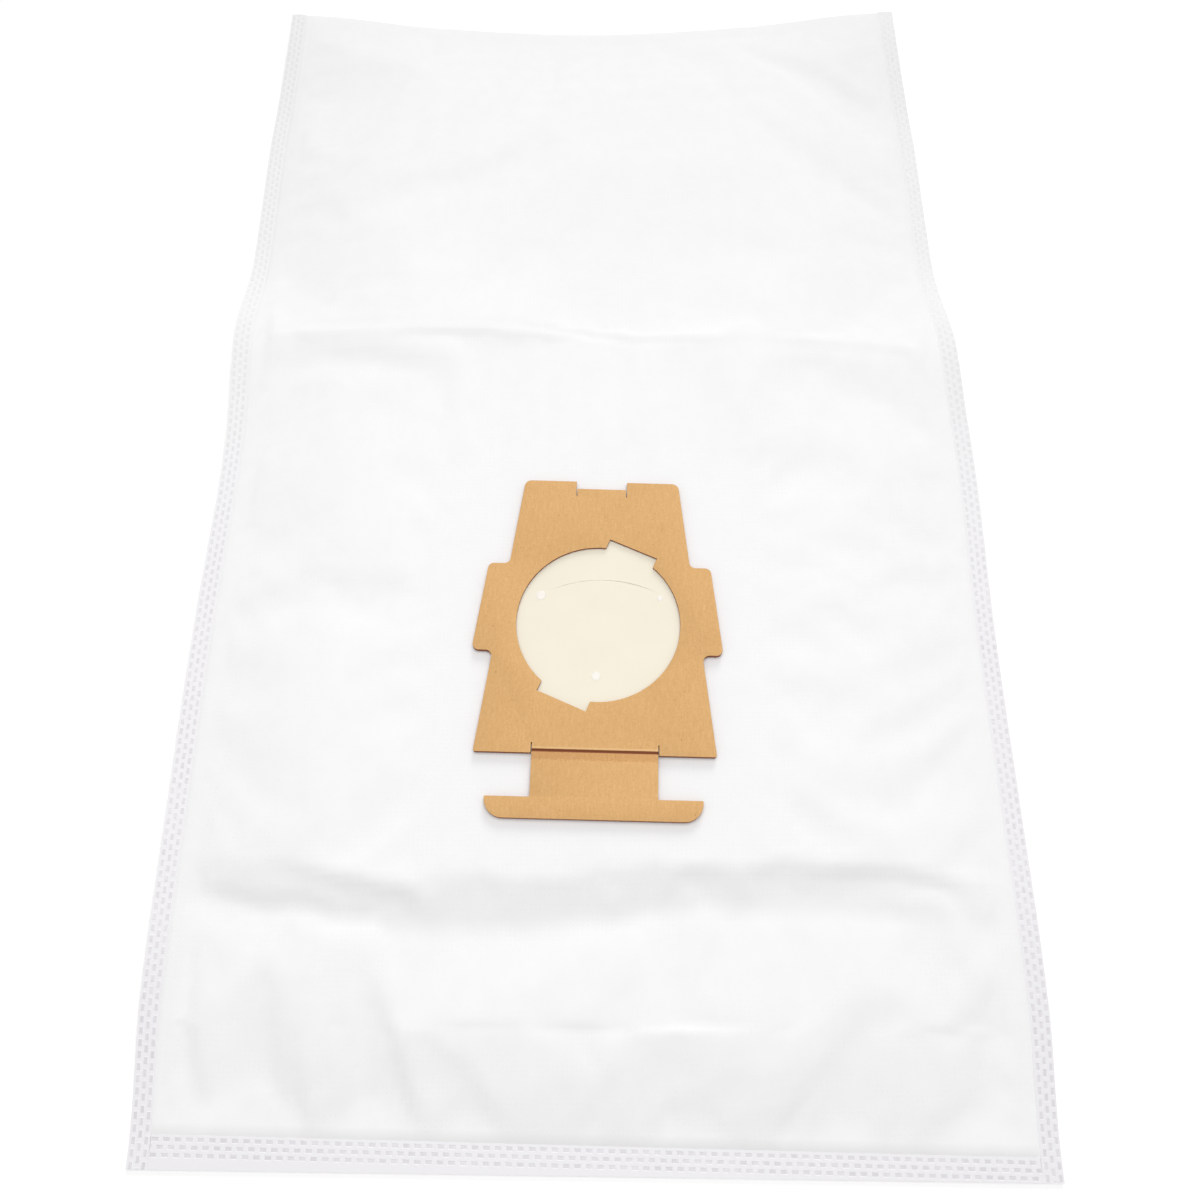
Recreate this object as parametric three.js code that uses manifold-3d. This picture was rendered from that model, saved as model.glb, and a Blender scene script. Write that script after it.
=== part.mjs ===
// Vacuum cleaner dust bag lying face up on a table, in millimetres, +Z up.
// The cloth bag is one folded and welded sheet with a round inlet in its front wall.
// A die-cut board collar is glued over the inlet, and carries a thin film valve on its back.
// X runs across the bag, Y runs from the welded bottom to the folded top, and the origin is
// under the middle of the bag, on the surface it lies on.

import * as THREE from 'three';
import Module from 'manifold-3d';
import { mergeVertices } from 'three/addons/utils/BufferGeometryUtils.js';

// Bag outline
const bagWidth = 336;
const bagLength = 557;
const endSkew = 3.2;
const topHollow = 10.5;
const topHollowSpan = 330;
const topShapeShare = 0.25;
const bottomDrawIn = 2.8;
const bottomDrawInSpan = 60;
const upperDrawIn = 2.3;
const upperDrawInSpan = 45;
const topDrawIn = 3.7;
const topDrawInSpan = 97;

// Cloth, welds and the air left between the two walls
const clothWall = 0.8;
const weldThickness = 1.2;
const sideWeld = 7.5;
const bottomWeldLeft = 11.3;
const bottomWeldRight = 7.9;
const weldSlantFade = 40;
const foldThickness = 2.6;
const foldRound = 1.1;
const leastHollow = 0.4;
const airLoft = 10;
const sideRise = 78;
const topRise = 115;

// The air is pressed out below the lower fold, where the upper wall steps down
const bottomRise = 40;
const lowShare = 0.5;
const lowerFoldSpread = 22;
const lowerFoldSamples = 80;
const lowerFoldLine = [
  [-168, 103], [-139, 101], [-104, 97], [-77, 92], [-38, 91], [1, 93], [32, 98], [63, 96], [98, 96],
  [140, 93], [168, 90],
];

// Lift of the edges off the table
const edgeLift = 3.6;
const edgeLiftSpan = 55;
const edgeLiftStart = 10;
const edgeLiftGrowth = 80;
const edgeLiftFade = 60;
const foldEdgeLift = 4;
const cornerLift = 5.5;
const cornerLiftLength = 75;
const cornerLiftWidth = 80;

// Creases left by folding the bag for its packet
const upperFoldY = 345;
const upperFoldSlope = -0.022;
const upperFoldHeight = 0.8;
const upperFoldSpread = 12;
const upperFoldEdgeSpread = 28;
const valleyDepth = 1.5;
const valleyWidth = 10;
const sideCreaseFade = 26;
const bottomCreaseFade = 9;

// Puckers that rise from the bottom weld: across, reach, half width and depth of each
const puckers = [
  [-149, 60, 9, 1.3], [-119, 58, 11, 1.6], [-96, 34, 8, 1.0], [-77, 54, 10, 1.7], [-41, 30, 13, 1.2],
  [4, 22, 12, 0.7], [38, 30, 10, 1.2], [68, 22, 9, 0.9], [92, 42, 10, 1.5], [114, 40, 9, 1.4],
  [143, 46, 10, 1.5],
];

// Collar board
const boardThickness = 2.2;
const glueGap = 0.3;
const seatMargin = 7;
const seatBlend = 14;
const collarX = 1.1;
const collarY = 203;
const collarTurn = -1.6;
const boardTop = 65;
const boardBottom = 55;
const boardTopWidth = 66;
const boardBottomWidth = 96;
const boardTopRadius = 3;
const boardBottomRadius = 0.8;
const wingReach = 8.6;
const wingTop = 25.6;
const wingBottom = -13;
const wingRadius = 2.6;
const notchWidth = 21.8;
const notchDepth = 3.5;
const slitWidth = 0.4;
const notchSlitDepth = 3.5;

// Closing tab at the foot of the collar board
const tabStemWidth = 49.8;
const tabSlitHeight = 4.2;
const tabCreaseDrop = 1.1;
const tabCreaseWidth = 1.2;
const tabCreaseDepth = 0.7;
const tabReach = 25.6;
const tabFootHeight = 8.3;
const tabFootWidth = 85;
const tabFootRadius = 7.4;
const tabTipRadius = 0.5;

// Inlet opening with its two bayonet notches
const inletDiameter = 67.6;
const bayonetAngle = 67.3;
const bayonetWidth = 21.5;
const bayonetReach = 36.5;

// Film valve behind the inlet, in a round recess of the board's back
const recessDepth = 1.2;
const filmThickness = 0.4;
const filmLap = 4.2;
const filmClearance = 0.6;
const clothLap = 2;
const filmSlitWidth = 0.6;
const filmSlitRadius = 51;
const filmSlitRise = 20.5;
const filmSlitSpan = 49;

// Fineness of the surfaces
const gridColumns = 32;
const weldStep = 1.5;
const foldZone = 22;
const topZone = 26;
const bottomRows = 13;
const seatRows = 5;
const middleRows = 4;
const foldRows = 6;
const upperRows = 9;
const topRows = 3;
const arcSteps = 6;
const circleSteps = 72;
const cutClearance = 0.1;
const mergeDistance = 1e-4;
const levelTolerance = 1e-9;

const degrees = Math.PI / 180;
const originY = bagLength / 2;
const seatHeight = weldThickness + airLoft;
const seatStart = collarY - boardBottom - tabReach - seatMargin;
const seatEnd = collarY + boardTop + seatMargin;
const seatHalfWidth = boardBottomWidth / 2 + wingReach + seatMargin;
const boardUnderside = seatHeight + glueGap;
const bayonetCorner = Math.hypot(bayonetReach, bayonetWidth / 2);
const filmRadius = bayonetCorner + filmLap;
const recessRadius = filmRadius + filmClearance;
const clothHoleRadius = filmRadius - clothLap;
const filmUnderside = boardUnderside + recessDepth - glueGap - filmThickness;
const lowerFoldCurve = new THREE.SplineCurve(lowerFoldLine.map(([x, y]) => new THREE.Vector2(x, y)));
const lowerFoldPoints = lowerFoldCurve.getPoints(lowerFoldSamples);
const bottomWeldMiddle = (bottomWeldLeft + bottomWeldRight) / 2;

function ramp(value) {
  const t = Math.min(Math.max(value, 0), 1);
  return t * t * (3 - 2 * t);
}

function rise(value) {
  const t = Math.min(Math.max(value, 0), 1);
  return 1 - (1 - t) * (1 - t);
}

function bell(value) {
  return Math.exp(-value * value);
}

// Outline of the bag, with y measured from its bottom edge

function halfWidth(y) {
  return bagWidth / 2
    - bottomDrawIn * (1 - ramp(y / bottomDrawInSpan))
    - upperDrawIn * ramp((y - upperFoldY) / upperDrawInSpan)
    - topDrawIn * ramp((y - bagLength + topDrawInSpan) / topDrawInSpan);
}

function bottomEdge(x) {
  return -endSkew * x / (bagWidth / 2);
}

function topEdge(x) {
  const middle = 1 - ramp(Math.abs(x) / (topHollowSpan / 2));
  return bagLength + endSkew * x / (bagWidth / 2) - topHollow * middle;
}

function bottomWeld(x) {
  return bottomWeldMiddle + (bottomWeldRight - bottomWeldLeft) * x / bagWidth;
}

// Height of the lower wall and of the upper wall over the table

function foldLine(x) {
  return upperFoldY + upperFoldSlope * x;
}

function lowerFoldLineY(x) {
  const last = lowerFoldPoints.length - 1;
  if (x <= lowerFoldPoints[0].x) return lowerFoldPoints[0].y;
  if (x >= lowerFoldPoints[last].x) return lowerFoldPoints[last].y;
  const next = lowerFoldPoints.findIndex((point) => point.x >= x);
  const before = lowerFoldPoints[next - 1];
  const after = lowerFoldPoints[next];
  const share = (x - before.x) / (after.x - before.x);
  return before.y + share * (after.y - before.y);
}

function backHeight(x, y) {
  const inFromSide = halfWidth(y) - Math.abs(x);
  const toSide = 1 - Math.min(inFromSide / edgeLiftSpan, 1);
  const grown = ramp((y - edgeLiftStart) / edgeLiftGrowth);
  const alongSide = grown * (1 - ramp((y - upperFoldY) / edgeLiftFade));
  const atFold = bell((y - foldLine(x)) / upperFoldEdgeSpread);
  const side = (edgeLift * alongSide + foldEdgeLift * atFold) * toSide * toSide;
  const alongCorner = ramp((y - bagLength + cornerLiftLength) / cornerLiftLength);
  const acrossCorner = ramp((cornerLiftWidth - inFromSide) / cornerLiftWidth);
  return side + cornerLift * alongCorner * acrossCorner;
}

function clothSpacing(x, y) {
  const fromSide = halfWidth(y) - sideWeld - Math.abs(x);
  const fromBottom = y - bottomEdge(x) - bottomWeld(x);
  const fromTop = topEdge(x) - y;
  const foldShare = (foldThickness - weldThickness) / airLoft;
  const side = rise(fromSide / sideRise);
  const step = ramp(0.5 + (y - lowerFoldLineY(x)) / lowerFoldSpread);
  const bottom = lowShare * rise(fromBottom / bottomRise) + (1 - lowShare) * step;
  const top = foldShare + (1 - foldShare) * rise(fromTop / topRise);
  return weldThickness + airLoft * side * bottom * top;
}

function creaseRelief(x, y) {
  const fromSide = halfWidth(y) - sideWeld - Math.abs(x);
  const fromBottom = y - bottomEdge(x) - bottomWeld(x);
  const inside = ramp(fromSide / sideCreaseFade) * ramp(fromBottom / bottomCreaseFade);
  const ridge = upperFoldHeight * Math.exp(-Math.abs(y - foldLine(x)) / upperFoldSpread);
  const valley = valleyDepth * bell((y - lowerFoldLineY(x)) / valleyWidth);
  let pucker = 0;
  for (const [across, reach, spread, depth] of puckers) {
    pucker += depth * bell((x - across) / spread) * bell(fromBottom / reach);
  }
  return inside * (ridge - valley - pucker);
}

// The glued board holds the upper wall flat under it
function frontHeight(x, y) {
  const free = backHeight(x, y) + clothSpacing(x, y) + creaseRelief(x, y);
  const beforeSeat = ramp((seatStart - y) / seatBlend);
  const afterSeat = ramp((y - seatEnd) / seatBlend);
  const besideSeat = ramp((Math.abs(x - collarX) - seatHalfWidth) / seatBlend);
  const seated = (1 - beforeSeat) * (1 - afterSeat) * (1 - besideSeat);
  return free + (seatHeight - free) * seated;
}

// Surfaces of the bag on one grid, from its bottom edge to its top fold

function rowPositions() {
  const zones = [
    [bottomWeldMiddle + weldStep, bottomRows],
    [seatStart, seatRows],
    [seatEnd, middleRows],
    [upperFoldY - foldZone, foldRows],
    [upperFoldY + foldZone, upperRows],
    [bagLength - topZone, topRows],
  ];
  const rows = [0, bottomWeldMiddle];
  zones.forEach(([from, count], zone) => {
    const to = zone < zones.length - 1 ? zones[zone + 1][0] : bagLength - 2 * foldRound;
    for (let i = 0; i < count; i += 1) rows.push(from + (to - from) * i / count);
  });
  rows.push(bagLength - 2 * foldRound);
  rows.push(bagLength);
  return rows;
}

function gridPoints() {
  const points = [];
  for (const row of rowPositions()) {
    const share = row / bagLength;
    const topShare = ramp((share - 1 + topShapeShare) / topShapeShare);
    const pastWeld = ramp((row - bottomWeldMiddle) / weldSlantFade);
    const slantShare = Math.min(row / bottomWeldMiddle, 1) * (1 - pastWeld);
    const line = [];
    for (let i = -1; i <= gridColumns + 1; i += 1) {
      const across = Math.min(Math.max(2 * i / gridColumns - 1, -1), 1);
      const isEdge = i < 0 || i > gridColumns;
      const half = halfWidth(row) - (isEdge ? 0 : sideWeld);
      const x = across * half;
      const atBottom = bottomEdge(x) * (1 - share) + (bottomWeld(x) - bottomWeldMiddle) * slantShare;
      line.push([x, row + atBottom + (topEdge(x) - bagLength) * topShare]);
    }
    points.push(line);
  }
  return points;
}

// Finds the rows and columns round the middle of a sheet that lie at one height
function flatBlock(sheet) {
  const middleRow = Math.floor(sheet.length / 2);
  const middleColumn = Math.floor(sheet[0].length / 2);
  const height = sheet[middleRow][middleColumn][2];
  const isFlat = (point) => Math.abs(point[2] - height) < levelTolerance;
  const block = {
    middle: [middleRow, middleColumn],
    left: middleColumn,
    right: middleColumn,
    bottom: middleRow,
    top: middleRow,
  };
  const columnIsFlat = (column) => isFlat(sheet[middleRow][column]);
  const rowIsFlat = (row) => sheet[row].slice(block.left, block.right + 1).every(isFlat);
  while (block.left > 1 && columnIsFlat(block.left - 1)) block.left -= 1;
  while (block.right < sheet[0].length - 2 && columnIsFlat(block.right + 1)) block.right += 1;
  while (block.bottom > 1 && rowIsFlat(block.bottom - 1)) block.bottom -= 1;
  while (block.top < sheet.length - 2 && rowIsFlat(block.top + 1)) block.top += 1;
  return block;
}

// Lists the points round a block of the grid, anticlockwise seen from above
function blockRim(block) {
  const rim = [];
  for (let column = block.left; column < block.right; column += 1) rim.push([block.bottom, column]);
  for (let row = block.bottom; row < block.top; row += 1) rim.push([row, block.right]);
  for (let column = block.right; column > block.left; column -= 1) rim.push([block.top, column]);
  for (let row = block.top; row > block.bottom; row -= 1) rim.push([row, block.left]);
  return rim;
}

// Joins an upper and a lower sheet of points, and closes the rim between them.
// The flat middle of the lower sheet is filled with large triangles that meet at its middle.
function closedShell(upper, lower) {
  const vertices = [...upper, ...lower].flat(2);
  const triangles = [];
  const lastRow = upper.length - 1;
  const lastColumn = upper[0].length - 1;
  const above = (row, column) => row * (lastColumn + 1) + column;
  const below = (row, column) => above(row + lastRow + 1, column);
  const addQuad = (a, b, c, d) => triangles.push(a, b, c, a, c, d);
  const flat = flatBlock(lower);
  const inFlatRows = (row) => row >= flat.bottom && row < flat.top;
  const inFlat = (row, column) => inFlatRows(row) && column >= flat.left && column < flat.right;
  for (let row = 0; row < lastRow; row += 1) {
    for (let column = 0; column < lastColumn; column += 1) {
      const next = column + 1;
      addQuad(above(row, column), above(row, next), above(row + 1, next), above(row + 1, column));
      if (inFlat(row, column)) continue;
      addQuad(below(row, column), below(row + 1, column), below(row + 1, next), below(row, next));
    }
    addQuad(above(row, 0), above(row + 1, 0), below(row + 1, 0), below(row, 0));
    addQuad(
      below(row, lastColumn),
      below(row + 1, lastColumn),
      above(row + 1, lastColumn),
      above(row, lastColumn),
    );
  }
  for (let column = 0; column < lastColumn; column += 1) {
    const next = column + 1;
    addQuad(below(0, column), below(0, next), above(0, next), above(0, column));
    addQuad(above(lastRow, column), above(lastRow, next), below(lastRow, next), below(lastRow, column));
  }
  const rim = blockRim(flat);
  rim.forEach((point, i) => {
    const next = rim[(i + 1) % rim.length];
    triangles.push(below(...flat.middle), below(...next), below(...point));
  });
  const geometry = new THREE.BufferGeometry();
  geometry.setAttribute('position', new THREE.Float32BufferAttribute(vertices, 3));
  geometry.setIndex(triangles);
  return geometry;
}

// Solids and booleans

const wasm = await Module();
wasm.setup();

function toSolid(geometry) {
  const bare = geometry.clone();
  bare.deleteAttribute('normal');
  bare.deleteAttribute('uv');
  const merged = mergeVertices(bare, mergeDistance);
  const indices = [];
  const index = merged.index.array;
  for (let i = 0; i < index.length; i += 3) {
    const [a, b, c] = [index[i], index[i + 1], index[i + 2]];
    if (a !== b && b !== c && c !== a) indices.push(a, b, c);
  }
  return new wasm.Manifold(new wasm.Mesh({
    numProp: 3,
    vertProperties: new Float32Array(merged.attributes.position.array),
    triVerts: new Uint32Array(indices),
  }));
}

function toGeometry(solid) {
  const mesh = solid.getMesh();
  const geometry = new THREE.BufferGeometry();
  geometry.setAttribute('position', new THREE.BufferAttribute(new Float32Array(mesh.vertProperties), 3));
  geometry.setIndex(new THREE.BufferAttribute(new Uint32Array(mesh.triVerts), 1));
  geometry.computeVertexNormals();
  return geometry;
}

function plateGeometry(shape, thickness, bottom) {
  const geometry = new THREE.ExtrudeGeometry(shape, {
    depth: thickness,
    bevelEnabled: false,
    steps: 1,
    curveSegments: arcSteps,
  });
  geometry.translate(0, 0, bottom);
  return geometry;
}

// An upright cylinder, with its middle at the origin
function roundTool(radius, height) {
  const tool = new THREE.CylinderGeometry(radius, radius, height, circleSteps);
  tool.rotateX(Math.PI / 2);
  return tool;
}

// Draws a closed outline whose corners are given as x, y and radius
function roundedOutline(path, corners) {
  const count = corners.length;
  for (let i = 0; i < count; i += 1) {
    const [x, y, radius] = corners[i];
    const [beforeX, beforeY] = corners[(i + count - 1) % count];
    const [afterX, afterY] = corners[(i + 1) % count];
    const corner = new THREE.Vector2(x, y);
    const toBefore = new THREE.Vector2(beforeX - x, beforeY - y).normalize();
    const toAfter = new THREE.Vector2(afterX - x, afterY - y).normalize();
    if (radius > 0) {
      const halfAngle = Math.acos(Math.min(Math.max(toBefore.dot(toAfter), -1), 1)) / 2;
      const reach = radius / Math.tan(halfAngle);
      const start = corner.clone().addScaledVector(toBefore, reach);
      const end = corner.clone().addScaledVector(toAfter, reach);
      const middle = toBefore.clone().add(toAfter).normalize();
      const centre = corner.clone().addScaledVector(middle, radius / Math.sin(halfAngle));
      const startAngle = Math.atan2(start.y - centre.y, start.x - centre.x);
      const endAngle = Math.atan2(end.y - centre.y, end.x - centre.x);
      const clockwise = toBefore.cross(toAfter) > 0;
      if (i === 0) path.moveTo(start.x, start.y);
      path.absarc(centre.x, centre.y, radius, startAngle, endAngle, clockwise);
    } else if (i === 0) {
      path.moveTo(x, y);
    } else {
      path.lineTo(x, y);
    }
  }
  path.closePath();
  return path;
}

// Bag body: two cloth walls, welded round three sides and folded at the top

function makeOuterSkin(points) {
  const upper = points.map((line) => line.map(([x, y]) => [x, y - originY, frontHeight(x, y)]));
  const lower = points.map((line) => line.map(([x, y]) => [x, y - originY, backHeight(x, y)]));
  const topUpper = upper[points.length - 1];
  const topLower = lower[points.length - 1];
  topUpper.forEach((point, column) => {
    const middle = (point[2] + topLower[column][2]) / 2;
    point[2] = middle + weldThickness / 2;
    topLower[column][2] = middle - weldThickness / 2;
  });
  return toSolid(closedShell(upper, lower));
}

function makeHollow(points) {
  const rows = points.slice(1, -1);
  const upper = [];
  const lower = [];
  rows.forEach((line, row) => {
    const columns = line.slice(1, -1);
    const middles = columns.map(([x, y]) => (frontHeight(x, y) + backHeight(x, y)) / 2);
    const halves = columns.map(([x, y], column) => {
      const onRim = [0, rows.length - 1].includes(row) || [0, columns.length - 1].includes(column);
      const inside = (frontHeight(x, y) - backHeight(x, y)) / 2 - clothWall;
      return onRim ? 0 : Math.max(inside, leastHollow / 2);
    });
    upper.push(columns.map(([x, y], column) => [x, y - originY, middles[column] + halves[column]]));
    lower.push(columns.map(([x, y], column) => [x, y - originY, middles[column] - halves[column]]));
  });
  return toSolid(closedShell(upper, lower));
}

function makeBagBody() {
  const points = gridPoints();
  const hole = roundTool(clothHoleRadius, airLoft);
  hole.translate(collarX, collarY - originY, seatHeight);
  return toGeometry(makeOuterSkin(points).subtract(makeHollow(points)).subtract(toSolid(hole)));
}

// Collar board, drawn round the centre of its inlet opening

function boardSideX(y) {
  const taper = (boardBottomWidth - boardTopWidth) / 2 / (boardTop + boardBottom);
  return boardTopWidth / 2 + (boardTop - y) * taper;
}

function boardOutline() {
  const notchFloor = boardTop - notchDepth;
  const tabBottom = -boardBottom - tabReach;
  const footTop = tabBottom + tabFootHeight;
  const slitTop = -boardBottom + tabSlitHeight;
  const right = [
    [notchWidth / 2 - slitWidth, notchFloor, 0],
    [notchWidth / 2 - slitWidth, notchFloor - notchSlitDepth, 0],
    [notchWidth / 2, notchFloor - notchSlitDepth, 0],
    [notchWidth / 2, boardTop, 0],
    [boardTopWidth / 2, boardTop, boardTopRadius],
    [boardSideX(wingTop), wingTop, wingRadius],
    [boardSideX(wingTop) + wingReach, wingTop, wingRadius],
    [boardSideX(wingBottom) + wingReach, wingBottom, wingRadius],
    [boardSideX(wingBottom), wingBottom, wingRadius],
    [boardBottomWidth / 2, -boardBottom, boardBottomRadius],
    [tabStemWidth / 2 + slitWidth, -boardBottom, 0],
    [tabStemWidth / 2 + slitWidth, slitTop, 0],
    [tabStemWidth / 2, slitTop, 0],
    [tabStemWidth / 2, footTop, tabTipRadius],
    [tabFootWidth / 2, footTop, tabTipRadius],
    [tabFootWidth / 2, tabBottom, tabFootRadius],
  ];
  const left = right.map(([x, y, radius]) => [-x, y, radius]).reverse();
  return roundedOutline(new THREE.Shape(), [...right, ...left]);
}

// The round opening with two square notches, half a turn apart, for a bayonet tube
function inletOutline() {
  const radius = inletDiameter / 2;
  const halfNotch = Math.asin(bayonetWidth / 2 / radius);
  const cornerAngle = Math.atan2(bayonetWidth / 2, bayonetReach);
  const cornerRadius = Math.hypot(bayonetWidth / 2, bayonetReach);
  const path = new THREE.Path();
  for (const turn of [0, Math.PI]) {
    const centre = bayonetAngle * degrees + turn;
    for (const angle of [centre - cornerAngle, centre + cornerAngle]) {
      const point = [cornerRadius * Math.cos(angle), cornerRadius * Math.sin(angle)];
      if (turn === 0 && angle < centre) path.moveTo(...point);
      else path.lineTo(...point);
    }
    const steps = circleSteps / 2;
    const from = centre + halfNotch;
    const to = centre + Math.PI - halfNotch;
    for (let i = 0; i <= steps; i += 1) {
      const angle = from + (to - from) * i / steps;
      path.lineTo(radius * Math.cos(angle), radius * Math.sin(angle));
    }
  }
  path.closePath();
  return path;
}

function makeCollarBoard() {
  const outline = boardOutline();
  outline.holes.push(inletOutline());
  const board = toSolid(plateGeometry(outline, boardThickness, 0));
  const crease = new THREE.Shape();
  const creaseY = -boardBottom + tabCreaseDrop;
  crease.moveTo(creaseY - tabCreaseWidth / 2, boardThickness + cutClearance);
  crease.lineTo(creaseY, boardThickness - tabCreaseDepth);
  crease.lineTo(creaseY + tabCreaseWidth / 2, boardThickness + cutClearance);
  crease.closePath();
  const creaseLength = tabStemWidth + 2 * slitWidth;
  const tool = new THREE.ExtrudeGeometry(crease, { depth: creaseLength, bevelEnabled: false, steps: 1 });
  tool.rotateX(Math.PI / 2);
  tool.rotateZ(Math.PI / 2);
  tool.translate(-creaseLength / 2, 0, 0);
  const recess = roundTool(recessRadius, 2 * recessDepth);
  return toGeometry(board.subtract(toSolid(tool)).subtract(toSolid(recess)));
}

// Film valve: a disc with one curved slit that the inlet tube pushes open

function makeValveFilm() {
  const disc = new THREE.Shape();
  disc.absarc(0, 0, filmRadius, 0, 2 * Math.PI, false);
  const slit = new THREE.Path();
  const slitCentreY = filmSlitRise - filmSlitRadius;
  const halfAngle = Math.asin(filmSlitSpan / 2 / filmSlitRadius);
  const from = Math.PI / 2 - halfAngle;
  const to = Math.PI / 2 + halfAngle;
  slit.absarc(0, slitCentreY, filmSlitRadius + filmSlitWidth / 2, from, to, false);
  slit.absarc(0, slitCentreY, filmSlitRadius - filmSlitWidth / 2, to, from, true);
  slit.closePath();
  disc.holes.push(slit);
  const film = new THREE.ExtrudeGeometry(disc, {
    depth: filmThickness,
    bevelEnabled: false,
    steps: 1,
    curveSegments: circleSteps / 2,
  });
  return toGeometry(toSolid(film));
}

function finish(colour, roughness) {
  return new THREE.MeshStandardMaterial({ color: colour, roughness, metalness: 0 });
}

const bagBody = new THREE.Mesh(makeBagBody(), finish('#f4f4f3', 0.92));
bagBody.name = 'bag_body';

const collarBoard = new THREE.Mesh(makeCollarBoard(), finish('#d9aa70', 0.82));
collarBoard.name = 'collar_board';
collarBoard.position.z = boardUnderside;

const valveFilm = new THREE.Mesh(makeValveFilm(), finish('#f6efde', 0.45));
valveFilm.name = 'valve_film';
valveFilm.position.z = filmUnderside;

const collar = new THREE.Group();
collar.position.set(collarX, collarY - originY, 0);
collar.rotation.z = collarTurn * degrees;
collar.add(collarBoard, valveFilm);

const dustBag = new THREE.Group();
dustBag.add(bagBody, collar);

export default dustBag;
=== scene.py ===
"""A flat white vacuum dust bag, lying face up on a pale table.

The cloth is one folded and welded sheet with a little air in it. A kraft board collar is glued
over its round inlet, with a thin film valve behind the opening. Lengths are in millimetres until
they reach a mesh, x runs across the bag and y runs from its welded bottom to its folded top.
"""

import math

import bmesh
import bpy
import numpy as np
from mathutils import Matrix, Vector, noise


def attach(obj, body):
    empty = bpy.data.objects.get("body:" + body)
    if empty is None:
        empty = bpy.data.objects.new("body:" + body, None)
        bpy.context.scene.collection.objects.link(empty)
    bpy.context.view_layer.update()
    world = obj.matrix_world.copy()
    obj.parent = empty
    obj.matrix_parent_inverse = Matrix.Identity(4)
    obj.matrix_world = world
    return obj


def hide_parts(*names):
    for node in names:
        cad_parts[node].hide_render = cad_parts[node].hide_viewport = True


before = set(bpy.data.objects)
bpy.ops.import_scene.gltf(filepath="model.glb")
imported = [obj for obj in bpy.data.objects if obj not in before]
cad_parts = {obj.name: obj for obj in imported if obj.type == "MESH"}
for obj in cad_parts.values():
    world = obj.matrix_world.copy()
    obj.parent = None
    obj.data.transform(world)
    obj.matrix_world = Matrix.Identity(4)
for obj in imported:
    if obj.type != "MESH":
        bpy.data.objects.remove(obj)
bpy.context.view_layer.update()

MM = 0.001

# Bag outline
BAG_WIDTH = 336
BAG_LENGTH = 557
END_SKEW = 3.2
TOP_HOLLOW, TOP_HOLLOW_NARROWING = 10.5, 1.02
TOP_SHAPE_SHARE = 0.25
BOTTOM_DRAW_IN, BOTTOM_DRAW_IN_SPAN = 2.8, 60
UPPER_DRAW_IN, UPPER_DRAW_IN_SPAN = 2.3, 45
TOP_DRAW_IN, TOP_DRAW_IN_SPAN = 3.7, 97
SWAY, SWAY_Y, SWAY_SPREAD = 2.4, 282, 55

# Cloth, welds and the air between the two walls
CLOTH_WALL = 0.8
WELD_THICKNESS = 1.2
SIDE_WELD = 7.5
BOTTOM_WELD_LEFT, BOTTOM_WELD_RIGHT = 11.3, 7.9
BOTTOM_WELD = (BOTTOM_WELD_LEFT + BOTTOM_WELD_RIGHT) / 2
WELD_SLANT_FADE = 40
FOLD_THICKNESS = 2.6
FOLD_ROUND = 2.2
AIR_LOFT = 10
SIDE_RISE, BOTTOM_RISE, TOP_RISE = 78, 50, 115
LOW_SHARE = 0.5
STEP_SPREAD, STEP_STRAIGHT_SHARE = 8.5, 0.6
SOFT_FLOOR = 0.6
LOWER_FOLD_SMOOTHING = 9
LOWER_FOLD_LINE = [
    (-168, 103), (-139, 101), (-104, 97), (-77, 92), (-38, 91), (1, 93), (32, 98), (63, 96),
    (98, 96), (140, 93), (168, 90),
]
RIM_TUCK = 3
TUCK_DEPTH, TUCK_REACH = 0.35, 0.45

# Lift of the edges off the table
EDGE_LIFT, EDGE_LIFT_SPAN = 3.6, 55
EDGE_LIFT_START, EDGE_LIFT_GROWTH, EDGE_LIFT_FADE = 10, 80, 60
FOLD_EDGE_LIFT = 4
CORNER_LIFT, CORNER_LIFT_LENGTH, CORNER_LIFT_WIDTH = 5.5, 75, 80

# Fold across the bag above the collar
UPPER_FOLD_Y, UPPER_FOLD_SLOPE = 345, -0.022
UPPER_FOLD_HEIGHT, UPPER_FOLD_SPREAD, UPPER_FOLD_EDGE_SPREAD = 0.5, 12, 28

# Collar, and the flat seat that it holds down in the cloth
COLLAR_X, COLLAR_Y, COLLAR_TURN = 1.1, 203, math.radians(-1.6)
SEAT_START, SEAT_END, SEAT_HALF_WIDTH = 115.4, 275, 63.6
SEAT_BLEND = 14
SEAT_HEIGHT = WELD_THICKNESS + AIR_LOFT
HOLE_RADIUS = 40.25
FILM_RADIUS = 42.25
FILM_TOP = 12.4
FILM_THICKNESS = 0.4
CREASE_Y = -53.9
TAB_STEM_WIDTH = 49.8

# Folds pressed into the cloth: the line, how far it drops, and its reach above and below the line
PRESSED_FOLDS = [
    ([(-140, 107), (-116, 103), (-99, 98), (-75, 92), (-62, 86)], 1.2, 4.5, 13),
    ([(-86, 99), (-52, 98), (-29, 96), (-1, 98), (21, 101), (32, 106)], 1.0, 4.5, 13),
    ([(24, 103), (33, 101), (54, 101), (80, 102), (116, 100), (146, 94)], 1.0, 4.5, 13),
    ([(-160, 93), (-143, 95), (-128, 90), (-118, 84)], 1.0, 5, 12),
    ([(-164, 334), (-109, 333), (-89, 329), (-58, 327)], 0.35, 4, 9),
    ([(-148, 402), (-96, 428), (-57, 435), (-24, 449)], 0.6, 9, 14),
]

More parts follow.
